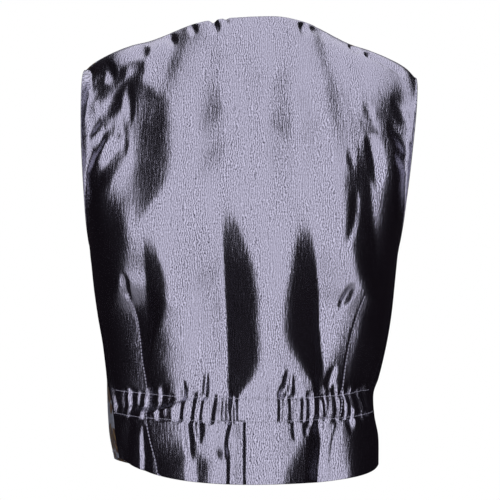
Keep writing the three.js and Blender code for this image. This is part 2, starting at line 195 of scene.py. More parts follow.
# %% Sections of the body of the garment
Section = namedtuple("Section", "z left right back front square seam_left seam_right")
TORSO = [
    Section(-550, 155, 151, 101, 118, 0.01, 30, 5),
    Section(-528, 158, 152.5, 99, 118, 0.01, 30, 5),
    Section(-505, 162, 153, 96, 117, 0, 30, 5),
    Section(-480, 167, 152.5, 91, 115, 0, 29, 5),
    Section(-456, 169, 148, 87, 113, 0, 27, 5),
    Section(-430, 170, 147, 86, 112, 0, 20, 4),
    Section(-412, 170.5, 153, 89, 112, 0, 8, 3),
    Section(-375, 175, 162, 95, 115, 0, -1, 0),
    Section(-338, 181.5, 168.5, 101, 119, 0.01, -2, -2),
    Section(-297, 187, 173, 107, 123, 0.04, -3, -3),
    Section(-255, 190.5, 177, 112, 125, 0.07, -3, -3),
    Section(-215, 191, 180, 114, 124, 0.08, -3, -3),
]


# %% [markdown]
# A table is read smoothly between its rows, with a curve that passes through every row.


# %% Read a table smoothly
def ease(t):
    t = np.clip(t, 0, 1)
    return t * t * (3 - 2 * t)


def read(table, by, places, column):
    xs = np.array([getattr(row, by) for row in table], float)
    ys = np.array([getattr(row, column) for row in table], float)
    before = np.maximum(np.arange(len(xs)) - 1, 0)
    after = np.minimum(np.arange(len(xs)) + 1, len(xs) - 1)
    slope = (ys[after] - ys[before]) / (xs[after] - xs[before])
    places = np.asarray(places, float)
    i = np.clip(np.searchsorted(xs, places), 1, len(xs) - 1)
    span = xs[i] - xs[i - 1]
    t = np.clip((places - xs[i - 1]) / span, 0, 1)
    from_row = ys[i - 1] * (2 * t**3 - 3 * t**2 + 1) + slope[i - 1] * span * (t**3 - 2 * t**2 + t)
    to_row = ys[i] * (3 * t**2 - 2 * t**3) + slope[i] * span * (t**3 - t**2)
    return from_row + to_row


def torso(z, angle):
    """Points of the sections: angle 0 is the centre back, growing to the wearer's left."""
    z, angle = np.broadcast_arrays(np.asarray(z, float), np.asarray(angle, float))
    square = read(TORSO, "z", z, "square")
    half = np.where(np.sin(angle) > 0, read(TORSO, "z", z, "left"), read(TORSO, "z", z, "right"))
    depth = np.where(np.cos(angle) > 0, read(TORSO, "z", z, "back"), read(TORSO, "z", z, "front"))
    x = half * ((1 + square) * np.sin(angle) + square * np.sin(3 * angle))
    y = depth * ((1 + square) * np.cos(angle) - square * np.cos(3 * angle))
    return np.stack([x, y, z], -1)


def seam_angle(z, side):
    """The angle of a side seam: the elastic pulls the left one far round to the back."""
    behind = np.where(side > 0, read(TORSO, "z", z, "seam_left"), read(TORSO, "z", z, "seam_right"))
    return math.pi / 2 - np.arcsin(behind / read(TORSO, "z", z, "back"))


# %% Rows up the garment
Row = namedtuple("Row", "level back left right front point")
ROWS = [
    Row(0, -528, -504, -514, -524, 22),
    Row(1, -508, -491, -498, -507, 13),
    Row(2, -484, -474, -477, -484, 5),
    Row(3, -470, -462, -463, -469, 0),
    Row(4, -457, -451, -450, -455, 0),
    Row(5, -444, -438, -438, -442, 0),
    Row(6, -431, -425, -426, -429, 0),
    Row(7, -419, -414, -415, -418, 0),
    Row(8, -403, -400, -400, -403, 0),
    Row(9, -378, -376, -376, -379, 0),
    Row(10, -346, -345, -345, -353, 0),
    Row(11, -315, -314, -314, -326, 0),
    Row(12, -285, -284, -284, -300, 0),
    Row(13, -255, -255, -255, -275, 0),
]
ARMHOLE_LEVEL = 13

# %% Neckline and shoulders
Top = namedtuple("Top", "x y left right")
TOP_LINE = [
    Top(0, 36, 14, 14),
    Top(30, 33, 12, 14.5),
    Top(52, 25, 10, 12.5),
    Top(70, 12, 6.5, 8.5),
    Top(88, -5, 1, 1),
    Top(118, -5, -10.5, -14),
    Top(142, -5, -16.5, -22),
    Top(166, -5, -26, -32),
    Top(186, -5, -37, -43.5),
    Top(198, -5, -47.5, -57),
]
SHOULDER_HALF = 198
NECK_HALF = 88
SHOULDER_RUN = math.radians(72)


def top_line(x):
    away = np.abs(x)
    height = np.where(x > 0, read(TOP_LINE, "x", away, "left"), read(TOP_LINE, "x", away, "right"))
    return np.stack([x, read(TOP_LINE, "x", away, "y"), height], -1)


# %% [markdown]
# Each panel is a grid of points, with its rows going up and its columns going from the wearer's left
# to the right as seen from outside. A curve with two handles takes every column over the shoulder.

# %% Curves over the yoke
Handle = namedtuple("Handle", "across leave_in leave_out leave_down arrive_in arrive_up")
YOKE = [
    Handle(0, 0, 58, 50, 0, 88),
    Handle(0.14, 0, 61, 48, 0, 88),
    Handle(0.2, 0, 68, 45, 0, 89),
    Handle(0.27, 0, 82, 38, 0, 91),
    Handle(0.34, 0, 99, 30, 0, 93),
    Handle(0.41, 0, 100, 22, 2, 95),
    Handle(0.48, 0, 100, 18, 6, 96),
    Handle(0.7, 0, 101, 13, 32, 90),
    Handle(0.88, 1, 103, 11, 67, 72),
    Handle(1, 3, 109, 10, 104, 50),
]


def unit(vectors):
    return vectors / np.maximum(np.linalg.norm(vectors, axis=-1, keepdims=True), 1e-9)


def curves(foot, below, inward, top, leave, arrive_up, arrive_in, steps):
    """Rows of points on curves from the armhole level, in the direction of the rows below, to the top."""
    arrive = foot + unit(foot - below) * arrive_up[:, None] + unit(inward - foot) * arrive_in[:, None]
    leave = top + leave
    rows = []
    for t in steps:
        near = (1 - t) ** 3 * foot + 3 * (1 - t) ** 2 * t * arrive
        rows.append(near + 3 * (1 - t) * t**2 * leave + t**3 * top)
    return np.stack(rows)


def normals(grid):
    """Outward directions of a grid of points."""
    return unit(np.cross(np.gradient(grid, axis=1), np.gradient(grid, axis=0)))


# %% Grid of the back without its folds
BACK_COLUMNS = 270
back_levels = np.concatenate([
    np.linspace(0, 3, 21)[:-1],
    np.linspace(3, 8, 61)[:-1],
    np.linspace(8, ARMHOLE_LEVEL, 33),
])
back_steps = np.linspace(0, 1, 51)[1:]


def back_place(level, share):
    """share is 1 at the left side seam, 0 at the centre back and -1 at the right side seam."""
    side = np.where(share >= 0, 1, -1)
    at_side = np.where(side > 0, read(ROWS, "level", level, "left"), read(ROWS, "level", level, "right"))
    at_centre = read(ROWS, "level", level, "back")
    z = at_centre + (at_side - at_centre) * share**2
    return torso(z, share * seam_angle(z, side))


back_shares = np.linspace(1, -1, BACK_COLUMNS)
outward = np.abs(back_shares)
armhole_row = back_place(np.full(BACK_COLUMNS, ARMHOLE_LEVEL), back_shares)
row_below = back_place(np.full(BACK_COLUMNS, ARMHOLE_LEVEL - 1.0), back_shares)
row_inward = back_place(np.full(BACK_COLUMNS, ARMHOLE_LEVEL), back_shares - 0.02 * np.sign(back_shares))
back_top = top_line(SHOULDER_HALF * np.sin(back_shares * SHOULDER_RUN) / math.sin(SHOULDER_RUN))
back_leave = np.stack([
    -np.sign(back_shares) * read(YOKE, "across", outward, "leave_in"),
    read(YOKE, "across", outward, "leave_out"),
    -read(YOKE, "across", outward, "leave_down"),
], -1)
yoke_rows = curves(
    armhole_row, row_below, row_inward, back_top, back_leave,
    read(YOKE, "across", outward, "arrive_up"), read(YOKE, "across", outward, "arrive_in"), back_steps,
)
lower_rows = np.stack([back_place(np.full(BACK_COLUMNS, level), back_shares) for level in back_levels])
back_base = np.concatenate([lower_rows, yoke_rows])
print("back grid", back_base.shape[:2], "height", round(float(np.ptp(back_base[..., 2])), 1), "mm")

# %% [markdown]
# ## Folds of the back
# A long fold in filled satin is a valley with one steep flank and one gentle one. The steep flank turns
# from the light and reads dark, and the gentle flank stays bright, so the dark shapes in the photograph
# are the steep flanks. Each row of the table is one valley line, with the reach of its two flanks.

# %% Large folds
Fold = namedtuple(
    "Fold", "x_top z_top x_foot z_foot bow depth left right steep start fade_top fade_foot valley",
)
LARGE_FOLDS = [
    # middle of the back
    Fold(34, -176, 26, -456, 1, 24, 76, 40, -1, 0.3, 140, 70, 1.5),
    Fold(-60, -194, -88, -456, -11, 23, 42, 50, 1, 0.3, 150, 110, 1.5),
    # left side, from the shoulder blade to the dart
    Fold(122, -230, 124, -400, 1, 12, 60, 27, -1, 0.4, 80, 100, 1.5),
    Fold(147, -300, 124, -454, 0, 13, 56, 64, -1, 0.4, 50, 16, 1.5),
    Fold(202, -24, 198, -136, 0, 10, 8, 66, 0, 1, 26, 40, 2),
    Fold(144, -44, 136, -244, -5, 13, 30, 40, -1, 0.1, 80, 90, 12),
    # right side
    Fold(-138, -122, -166, -336, 6, 10, 30, 26, 1, 0.4, 60, 60, 3),
    Fold(-163, -296, -128, -452, 0, 7, 39, 26, 1, 0.4, 50, 24, 4),
    # skirt
    Fold(-85, -446, -85, -574, 0, 6, 17, 30, 1, 1, 20, 4, 1.2),
    Fold(-85, -450, -85, -600, 0, 15, 47, 34, 1, 0.3, 90, 4, 1.2),
    Fold(112, -468, 108, -600, 0, 6, 46, 38, 0, 1, 44, 4, 2),
    # slow hollows of the yoke
    Fold(62, -44, 56, -220, 3, 4.5, 26, 26, 0, 1, 80, 80, 8),
    Fold(8, -20, 2, -130, 0, 2.5, 20, 20, 0, 1, 50, 50, 8),
    Fold(-46, -30, -52, -236, -4, 5, 30, 30, 0, 1, 90, 90, 8),
]


def beside(x, z, x_top, z_top, x_foot, z_foot, bow):
    """How far down a bowed line a place lies, how far to its left, and the line's length."""
    length = math.hypot(x_foot - x_top, z_foot - z_top)
    dx, dz = (x_foot - x_top) / length, (z_foot - z_top) / length
    down = (x - x_top) * dx + (z - z_top) * dz
    share = np.clip(down / length, 0, 1)
    return down, (z - z_top) * dx - (x - x_top) * dz - 4 * bow * share * (1 - share), length


def flank(share, rounding=0.22):
    """1 in the valley, straight down to 0 at the crest, with the crest rounded off."""
    crest = (1 + rounding - share) ** 2 / (4 * rounding)
    return np.where(share < 1 - rounding, 1 - share, np.where(share < 1 + rounding, crest, 0))


def large_fold(fold, x, z):
    down, left, length = beside(x, z, *fold[:5])
    rise = ease(down / fold.fade_top)
    fall = ease((length - down) / fold.fade_foot)
    narrow = (fold.start + (1 - fold.start) * rise) * np.maximum(fall, 0.05)
    reach_left = fold.left * (narrow if fold.steep > 0 else 1)
    reach_right = fold.right * (narrow if fold.steep < 0 else 1)
    reach = np.where(left > 0, reach_left, reach_right)
    return fold.depth * rise * fall * flank((np.hypot(left, fold.valley) - fold.valley) / reach)


# %% [markdown]
# Small creases: the pull of the armholes, the puckers of the neck and shoulder seams, the dents at the
# dart points and the pleats of the skirt. The two darts are grooves of the same kind.

# %% Small creases
Crease = namedtuple("Crease", "x_top z_top x_foot z_foot bow depth left right fade_top fade_foot")
DARTS = [
    Crease(148, -306, 101, -570, 0, 0.3, 1.2, 2.4, 14, 1),
    Crease(-134, -308, -98, -484, -1, 0.8, 1.8, 6.0, 20, 1),
    Crease(-98, -484, -97, -570, 0, 0.8, 1.8, 6.0, 1, 1),
]
SMALL_CREASES = [
    # left shoulder blade and armhole
    Crease(118, -22, 172, -58, 2, 4.4, 11, 11, 12, 12),
    Crease(160, -40, 195, -66, 1, 3.8, 10, 9, 8, 5),
    Crease(124, -40, 180, -104, 4, 4.6, 14, 14, 16, 24),
    Crease(146, -44, 192, -84, 2, 2.8, 9, 9, 12, 10),
    Crease(152, -78, 190, -128, 2, 2.8, 9, 9, 14, 12),
    Crease(158, -112, 190, -168, 3, 2.8, 7, 7, 14, 10),
    Crease(142, -66, 140, -112, 0, 2.4, 6, 6, 12, 24),
    Crease(146, -128, 180, -190, 4, 4.4, 10, 14, 24, 12),
    Crease(170, -112, 178, -150, 0, 2.0, 6, 6, 14, 16),
    Crease(152, -102, 146, -150, 0, 2.0, 6, 6, 14, 20),
    # right shoulder and armhole
    Crease(-132, -92, -142, -112, 0, 1.8, 6, 5, 8, 10),
    Crease(-124, -112, -150, -122, 0, 1.6, 5, 5, 8, 10),
    Crease(-114, -142, -118, -168, 0, 2.0, 5, 5, 14, 14),
    Crease(-134, -128, -150, -190, -4, 4.0, 8, 10, 16, 30),
    Crease(-160, -112, -186, -152, 0, 2.6, 8, 7, 12, 14),
    Crease(-168, -146, -188, -178, 0, 3.0, 7, 7, 12, 12),
    Crease(-164, -84, -182, -112, 0, 2.0, 7, 7, 12, 12),
    Crease(-122, -190, -110, -260, -4, 2.0, 8, 6, 16, 30),
    # neck and shoulder seams
    Crease(46, 12, 38, -8, 0, 5.0, 3, 6, 2, 12),
    Crease(30, 13, 26, 2, 0, 2.6, 2.5, 4, 2, 8),
    Crease(70, 6, 64, -8, 0, 3.2, 3, 5, 2, 9),
    Crease(98, -4, 88, -20, 0, 4.6, 6, 7, 4, 12),
    Crease(-61, 8, -66, -8, 0, 5.0, 4, 5, 2, 8),
    Crease(-70, 4, -92, -16, -2, 2.0, 4, 5, 6, 12),
    Crease(-119, -14, -129, -28, 0, 5.0, 4, 4, 3, 8),
    Crease(-134, -27, -182, -54, -2, 5.0, 4, 4, 8, 10),
    # dart points
    Crease(147, -290, 148, -318, 0, 3.4, 2.5, 5, 8, 3),
    Crease(-120, -303, -110, -331, 0, 5.0, 5, 4, 8, 8),
    # above the casing
    Crease(53, -398, 53, -434, 0, 3.2, 3, 3, 20, 4),
    Crease(80, -410, 78, -434, 0, 2.2, 3, 3, 14, 4),
    Crease(-44, -396, -35, -432, -3, 3.4, 5, 4, 14, 6),
    Crease(-50, -402, -58, -432, 0, 2.8, 4, 5, 14, 6),
    Crease(-104, -396, -92, -424, 0, 3.0, 6, 4, 10, 8),
    # skirt
    Crease(8.5, -456, 8.5, -570, 0, 3.4, 12, 2.2, 3, 3),
    Crease(25, -456, 31, -500, 2, 4.4, 13, 4.5, 4, 14),
    Crease(28, -484, 30, -570, -1, 3.8, 11, 3.4, 12, 3),
    Crease(22, -474, 20, -490, 0, 1.6, 3, 3, 6, 6),
    Crease(60, -457, 58, -484, 0, 3.4, 4, 6, 3, 20),
    Crease(64, -492, 58, -570, 0, 3.0, 12, 13, 16, 3),
    Crease(73, -457, 68, -506, 0, 3.4, 5, 6, 3, 24),
    Crease(124, -462, 127, -528, 0, 2.6, 3.4, 9, 26, 3),
    Crease(140, -456, 150, -520, 0, 2.0, 8, 8, 10, 10),
    Crease(-51, -458, -52, -480, 0, 2.6, 3, 4, 3, 12),
    Crease(-66, -458, -64, -476, 0, 2.0, 3, 4, 3, 12),
    Crease(-118, -456, -118, -474, 0, 2.6, 4, 4, 3, 12),
]


def small_crease(crease, x, z, soft=1.2):
    down, left, length = beside(x, z, *crease[:5])
    ends = np.sin(math.pi / 2 * np.clip(down / crease.fade_top, 0, 1))
    ends = ends * np.sin(math.pi / 2 * np.clip((length - down) / crease.fade_foot, 0, 1))
    reach = np.where(left > 0, crease.left, crease.right) * np.maximum(ends, 0.02) ** 0.7
    return crease.depth * ends * flank((np.sqrt(left**2 + soft**2) - soft) / reach)


# %% [markdown]
# At the end of a dart the cloth has more room than it needs, and stands out in a soft bump.

# %% Soft bumps
Bump = namedtuple("Bump", "x z wide high out")
BUMPS = [
    Bump(-124, -300, 30, 40, 3),
    Bump(153, -300, 15, 24, 4),
    Bump(141, -236, 15, 44, 3),
]

# %% [markdown]
# The elastic draws the casing up into puckers, none like the next: each has its own place, lean, depth
# and length. Between the two stitched rows the cloth stands out over the elastic.

# %% Puckers of the casing
Pucker = namedtuple("Pucker", "x lean depth left right up down")
PUCKERS = [
    Pucker(152, -2, 1.6, 3, 3, 6, 8),
    Pucker(144, -3, 2.8, 3.2, 7, 8, 6),
    Pucker(135, 1, 1.4, 3, 6, 4, 5),
    Pucker(123.5, 1, 3.2, 4.6, 9, 16, 5),
    Pucker(114, 0, 1.0, 3, 5, 3, 8),
    Pucker(106, 1, 3.0, 4.8, 8, 16, 5),
    Pucker(96, 2, 1.2, 4, 6, 5, 3),
    Pucker(81, 2.5, 3.0, 8.5, 4.2, 12, 4),
    Pucker(68, 3, 3.0, 9, 5, 8, 5),
    Pucker(58, 2.5, 2.4, 5, 3.2, 6, 5),
    Pucker(44, 3, 3.2, 10, 4, 6, 6),
    Pucker(34, 1, 1.4, 3, 3, 12, 3),
    Pucker(25, -0.6, 2.6, 4.5, 3.4, 12, 4),
    Pucker(17, 0, 2.6, 2.2, 2.6, 4, 3),
    Pucker(4, 0, 0.5, 4, 4, 5, 4),
    Pucker(-10, 0, 0.6, 4, 4, 4, 5),
    Pucker(-22, 0, 0.7, 4, 4, 6, 4),
    Pucker(-35.5, 0.6, 2.6, 3, 3, 20, 2),
    Pucker(-47.5, -0.5, 2.6, 2.4, 2.6, 6, 4),
    Pucker(-51.5, -0.4, 2.8, 2.4, 3.4, 26, 4),
    Pucker(-62, 0, 1.6, 3, 3, 6, 4),
    Pucker(-69.5, 0, 3.6, 4.4, 4.4, 10, 12),
    Pucker(-81.5, 0, 4.6, 8, 8, 40, 30),
    Pucker(-88, -1.4, 2.2, 2.4, 3, 3, 6),
    Pucker(-92, 1.4, 2.8, 3, 7, 12, 4),
    Pucker(-101, 0, 2.4, 5, 3.2, 26, 8),
    Pucker(-110.8, 0, 2.6, 6, 2.8, 8, 4),
    Pucker(-118.6, 0.5, 3.4, 5, 3.8, 14, 14),
    Pucker(-126, 0, 1.6, 4, 2, 4, 6),
    Pucker(-131, 1, 3.2, 4, 3, 6, 12),
    Pucker(-139, 0.8, 3.2, 5, 3, 10, 5),
]


CASING_TOP = -431
CASING_HIGH = 26


def casing_rows(share):
    """Heights of the two stitched rows, which rise a little towards the side seams."""
    upper = CASING_TOP + np.where(share > 0, 6, 5) * share**2
    return upper, upper - CASING_HIGH + np.where(share > 0, 0, 2) * share**2


def pucker_depth(pucker, x, z, upper, lower):
    lean = pucker.lean * ((upper + lower) / 2 - z) / CASING_HIGH
    line = pucker.x + np.clip(lean, -abs(pucker.lean), abs(pucker.lean))
    reach = np.where(x > line, pucker.left, pucker.right)
    across = flank((np.hypot(x - line, 0.5) - 0.5) / reach)
    above = ease(1 - (z - upper) / pucker.up)
    below = ease(1 - (lower - z) / pucker.down)
    return pucker.depth * across * np.minimum(above, below)


# %% [markdown]
# Cloth is never quite even, so a few slow waves of random direction lie under everything. The armhole
# edges are turned in and roll up into a thin bead, which catches the light, and stand off a little
# between the shoulder and the underarm. The seams hold the cloth: the folds die out towards the side
# seams, and in the last three rows below the shoulder seams.

# %% Shape the back
ROW_PULL = 0.7
ROW_WIDE = 1.6
CASING_PUFF = 1.1
PUFF_RISE = 7
WAVES = 16
WAVE_HEIGHT = 0.12
SEAM_HOLD = 0.06
SHOULDER_HOLD = np.array([[0.8], [0.45], [0.1]])
BACK_ROUND = 240
BEAD_HEIGHT = 1.1
BEAD_IN = 3.2
BEAD_WIDE = 2
EDGE_FLARE = 6
FLARE_FROM = 0.78

x, z = back_base[..., 0], back_base[..., 2]
share = np.broadcast_to(back_shares, x.shape)
push = np.zeros_like(x)
for fold in LARGE_FOLDS:
    push -= large_fold(fold, x, z)
for crease in DARTS + SMALL_CREASES:
    push -= small_crease(crease, x, z)
for bump in BUMPS:
    push += bump.out * np.exp(-(((x - bump.x) / bump.wide) ** 2) - ((z - bump.z) / bump.high) ** 2)
upper_row, lower_row = casing_rows(share)
for pucker in PUCKERS:
    push -= pucker_depth(pucker, x, z, upper_row, lower_row)
push += CASING_PUFF * ease((z - lower_row) / PUFF_RISE) * ease((upper_row - z) / PUFF_RISE)
for row in (upper_row, lower_row):
    push -= ROW_PULL * np.exp(-(((z - row) / ROW_WIDE) ** 2))
for _ in range(WAVES):
    length, turn, phase = rng.uniform(28, 90), rng.uniform(0, math.pi), rng.uniform(0, 2 * math.pi)
    run = x * math.cos(turn) + z * math.sin(turn)
    push += WAVE_HEIGHT * length / 60 * np.sin(2 * math.pi * run / length + phase)
push *= ease((1 - np.abs(share)) / SEAM_HOLD)
push[-3:] *= np.where(np.abs(x[-3:]) > NECK_HALF + 8, SHOULDER_HOLD, 1)
from_edge = BACK_ROUND * (1 - np.abs(share))
push += BEAD_HEIGHT * np.exp(-(((from_edge - BEAD_IN) / BEAD_WIDE) ** 2)) * ease((z + 270) / 20)
back_outer = back_base + normals(back_base) * push[..., None]
flare_foot = np.where(x > 0, -186, -150)
standing = ease((z - flare_foot) / 60) * ease((-30 - z) / 40)
back_outer[..., 1] += EDGE_FLARE * ease((np.abs(share) - FLARE_FROM) / (1 - FLARE_FROM)) * standing
print("folds reach", round(float(push.min()), 1), "to", round(float(push.max()), 1), "mm")

# %% [markdown]
# A panel of cloth becomes a closed shell: its outside, its inside one thickness below, and a rounded
# rim. Its texture map is laid out in metres of flat cloth, so that every weave keeps its real scale.


# %% Cloth shell
def flat_map(base, grain_column, level_row):
    """Metres across from the grain line and up from a level row, measured on the form without its folds."""
    across = np.linalg.norm(np.diff(base, axis=1), axis=-1).cumsum(1)
    across = np.concatenate([np.zeros((len(base), 1)), across], 1)
    up = np.linalg.norm(np.diff(base, axis=0), axis=-1).cumsum(0)
    up = np.concatenate([np.zeros((1, base.shape[1])), up], 0)
    return np.stack([across - across[:, [grain_column]], up - up[[level_row]]], -1) * MM


def cloth(name, outer, flat, thickness, finish):
    rows, columns = outer.shape[:2]
    inner = outer - normals(outer) * thickness
    ring = [(0, j) for j in range(columns)] + [(i, columns - 1) for i in range(1, rows)]
    ring += [(rows - 1, j) for j in range(columns - 2, -1, -1)] + [(i, 0) for i in range(rows - 2, 0, -1)]
    rim = []
    for i, j in ring:
        away = np.zeros(3)
        sides = ((i == 0, 1, 0), (i == rows - 1, -1, 0), (j == 0, 0, 1), (j == columns - 1, 0, -1))
        for on_side, down, along in sides:
            if on_side:
                away += unit(outer[i, j] - outer[i + down, j + along])
        rim.append((outer[i, j] + inner[i, j]) / 2 + unit(away) * thickness * 0.45)
    points = np.concatenate([outer.reshape(-1, 3), inner.reshape(-1, 3), np.array(rim)]) * MM
    at = np.arange(rows * columns).reshape(rows, columns)
    sheet = np.stack([at[:-1, :-1], at[:-1, 1:], at[1:, 1:], at[1:, :-1]], -1).reshape(-1, 4)
    lining = sheet[:, ::-1] + rows * columns
    edge = np.array([at[i, j] for i, j in ring])
    middle = 2 * rows * columns + np.arange(len(ring))
    far = edge + rows * columns
    strips = [
        np.stack([np.roll(edge, -1), edge, middle, np.roll(middle, -1)], -1),
        np.stack([np.roll(middle, -1), middle, far, np.roll(far, -1)], -1),
    ]
    faces = np.concatenate([sheet, lining] + strips)
    mesh = bpy.data.meshes.new(name)
    mesh.from_pydata(points.tolist(), [], faces.tolist())
    mesh.polygons.foreach_set("use_smooth", np.ones(len(faces), bool))
    flat = flat.reshape(-1, 2)
    flat = np.concatenate([flat, flat, flat[edge]])
    layer = mesh.uv_layers.new(name="cloth")
    layer.data.foreach_set("uv", flat[faces.reshape(-1)].reshape(-1).astype(np.float32))
    mesh.materials.append(finish)
    mesh.update()
    piece = bpy.data.objects.new(name, mesh)
    bpy.context.scene.collection.objects.link(piece)
    print(name, len(faces) * 2, "triangles")
    return piece


# %% [markdown]
# ## Satin
# The back is woven viscose satin, warp-faced: long upright floats of shiny thread cover the surface.
# It mirrors the light softly, in the grey lavender of the thread, and is nearly black elsewhere. The
# floats are uneven, so fine upright slubs break the edge of every reflection into small teeth. The
# threads are coarsened to what the picture can show: their columns are 2.4 mm apart, where real ones are
# a few tenths of a millimetre. The dark lines between them in the base colour are partly the floats' own
# uneven tone and partly painted shade between the threads. Slow clouds let this painted shade stand out
# in some places and fade in others.

# %% Woven viscose satin
SLUB_WIDE = 2.2 * MM
SLUB_LONG = 14 * MM
FLOAT_WIDE = 0.8 * MM
FLOAT_LONG = 2.2 * MM
THREAD_PITCH = 2.4 * MM
THREAD_LONG = 3.4 * MM
BAND_WIDE = 26 * MM
BAND_LONG = 110 * MM
SLUB_HEIGHT = 0.32 * MM
FLOAT_HEIGHT = 0.3
COLUMN_SHARE = 0.22
THREAD_TONE = 0.56

satin = bpy.data.materials.new("woven_viscose_satin")
satin.use_nodes = True
tree = satin.node_tree
shader = tree.nodes["Principled BSDF"]
shader.inputs["Metallic"].default_value = 1.0
shader.inputs["Roughness"].default_value = 0.26
place = node(tree, "ShaderNodeUVMap", uv_map="cloth").outputs[0]
sizes = ((SLUB_WIDE, SLUB_LONG, 1.0), (FLOAT_WIDE, FLOAT_LONG, 1.0), (BAND_WIDE, BAND_LONG, 2.0))
noises = []
for wide, long, detail in sizes:
    stretched = cells(tree, place, wide, long)
    noise = node(tree, "ShaderNodeTexNoise", {"Vector": stretched, "Scale": 1.0, "Detail": detail})
    noises.append(noise.outputs[0])
slub, floats, cloud = noises
thread_cells = cells(tree, place, THREAD_PITCH, THREAD_LONG)
wave = {"Vector": thread_cells, "Scale": 1 / WAVES_TO_THE_UNIT, "Distortion": 9.0, "Detail": 1.0}
columns = node(tree, "ShaderNodeTexWave", wave).outputs[1]
# Slow clouds set how strongly the thread lines darken the base colour: partly the floats' own uneven tone,
# partly painted shade between the threads.
contrast = {"Value": cloud, "From Min": 0.35, "From Max": 0.65, "To Min": 1.2, "To Max": 3.8}
uneven_tone_and_shade = node(tree, "ShaderNodeMapRange", contrast).outputs[0]
both = node(tree, "ShaderNodeMix", {0: COLUMN_SHARE, 2: floats, 3: columns}).outputs[0]
spread = figure(tree, "MULTIPLY", figure(tree, "SUBTRACT", both, 0.5), uneven_tone_and_shade)
thread_tone_and_shade = figure(tree, "ADD", spread, THREAD_TONE, use_clamp=True)
pale = blend(tree, cloud, linear("#dedce9"), linear("#cfcdd9"))
# The dark end of this mix, a dark grey, is partly painted shade between the threads and partly the darker
# floats' own tone.
tone = blend(tree, thread_tone_and_shade, linear("#4e4c57"), pale)
tree.links.new(tone, shader.inputs["Base Color"])
threads = figure(tree, "ADD", slub, figure(tree, "MULTIPLY", floats, FLOAT_HEIGHT))
relief = node(tree, "ShaderNodeBump", {"Height": threads, "Strength": 1.0, "Distance": SLUB_HEIGHT})
tree.links.new(relief.outputs[0], shader.inputs["Normal"])

# %% Place the back
BACK_CLOTH = 1.1
CASING_ROW = 50
back_flat = flat_map(back_base, BACK_COLUMNS // 2, CASING_ROW)
back = cloth("satin_back", back_outer, back_flat, BACK_CLOTH, satin)
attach(back, "root")
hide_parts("back")

# %% [markdown]
# ## Thread
# A stitch of sewing thread shows as a short, slightly raised capsule that dips into the cloth at its
# ends. Rows of them hold the elastic in its casing and run down both darts.

# %% Rows of stitches
STITCH_PITCH = 3.2
STITCH_LONG = 2.5
STITCH_THICK = 0.34
DART_STITCH = (4.2, 3.2, 0.6)
STITCH_RINGS = ((0, 0.25), (0.12, 0.85), (0.5, 1), (0.88, 0.85), (1, 0.25))


def stitch_row(points, facing, pitch=STITCH_PITCH, long=STITCH_LONG, thick=STITCH_THICK):
    """Capsules of thread along a line on the cloth, as one list of points and one of faces."""
    run = np.concatenate([[0], np.linalg.norm(np.diff(points, axis=0), axis=1).cumsum()])
    turns = np.arange(6) * math.pi / 3
    made, faces = [], []
    for start in np.arange(pitch / 2, run[-1] - long, pitch):
        marks = [start + long * share for share, _ in STITCH_RINGS]
        centres = np.stack([np.interp(marks, run, points[:, k]) for k in range(3)], -1)
        up = unit(np.stack([np.interp(marks, run, facing[:, k]) for k in range(3)], -1))
        across = unit(np.cross(np.gradient(centres, axis=0), up))
        first = len(made)
        for ring, (_, share) in enumerate(STITCH_RINGS):
            for turn in turns:
                away = across[ring] * math.cos(turn) + up[ring] * (math.sin(turn) + 0.4)
                made.append(centres[ring] + away * thick * share)
        for ring in range(len(STITCH_RINGS) - 1):
            for k in range(6):
                a, b = first + 6 * ring + k, first + 6 * ring + (k + 1) % 6
                faces.append((a, b, b + 6, a + 6))
        faces.append(tuple(range(first + 5, first - 1, -1)))
        faces.append(tuple(range(first + 24, first + 30)))
    return made, faces


def join_rows(name, rows, finish):
    points, faces = [], []
    for made, found in rows:
        faces += [tuple(k + len(points) for k in face) for face in found]
        points += [tuple(point * MM) for point in made]
    mesh = bpy.data.meshes.new(name)
    mesh.from_pydata(points, [], faces)
    mesh.polygons.foreach_set("use_smooth", np.ones(len(faces), bool))
    mesh.materials.append(finish)
    mesh.update()
    piece = bpy.data.objects.new(name, mesh)
    bpy.context.scene.collection.objects.link(piece)
    print(name, len(rows), "rows", len(faces), "faces")
    return piece


# %% [markdown]
# Spun polyester thread is softer in shine than the satin: light against its dark folds, and dark
# against its bright ones.

# %% Polyester sewing thread
thread = bpy.data.materials.new("polyester_sewing_thread")
thread.use_nodes = True
tree = thread.node_tree
shader = tree.nodes["Principled BSDF"]
shader.inputs["Roughness"].default_value = 0.5
place = node(tree, "ShaderNodeTexCoord")
ply = node(tree, "ShaderNodeTexNoise", {"Vector": place.outputs["Object"], "Scale": 900.0, "Detail": 1.0})
tone = blend(tree, ply.outputs[0], linear("#b3b1be"), linear("#e2e0ea"))
tree.links.new(tone, shader.inputs["Base Color"])

# %% Sew the back
back_facing = normals(back_outer)


def on_back(x, z):
    """The place and facing of the folded back over a place of the form without folds."""
    columns = np.arange(BACK_COLUMNS)
    rows = np.array([np.interp(z, back_base[:, j, 2], np.arange(len(back_base))) for j in columns])
    low = np.minimum(rows.astype(int), len(back_base) - 2)
    part = (rows - low)[:, None]
    grids = (back_base, back_outer, back_facing)
    reach = [grid[low, columns] * (1 - part) + grid[low + 1, columns] * part for grid in grids]
    at = np.interp(-x, -reach[0][:, 0], columns)
    return [np.array([np.interp(at, columns, grid[:, k]) for k in range(3)]) for grid in reach[1:]]


def sewn_line(places, *sizes):
    found = [on_back(x, z) for x, z in places]
    points, facing = (np.array(part) for part in zip(*found))
    return stitch_row(points, facing, *sizes)


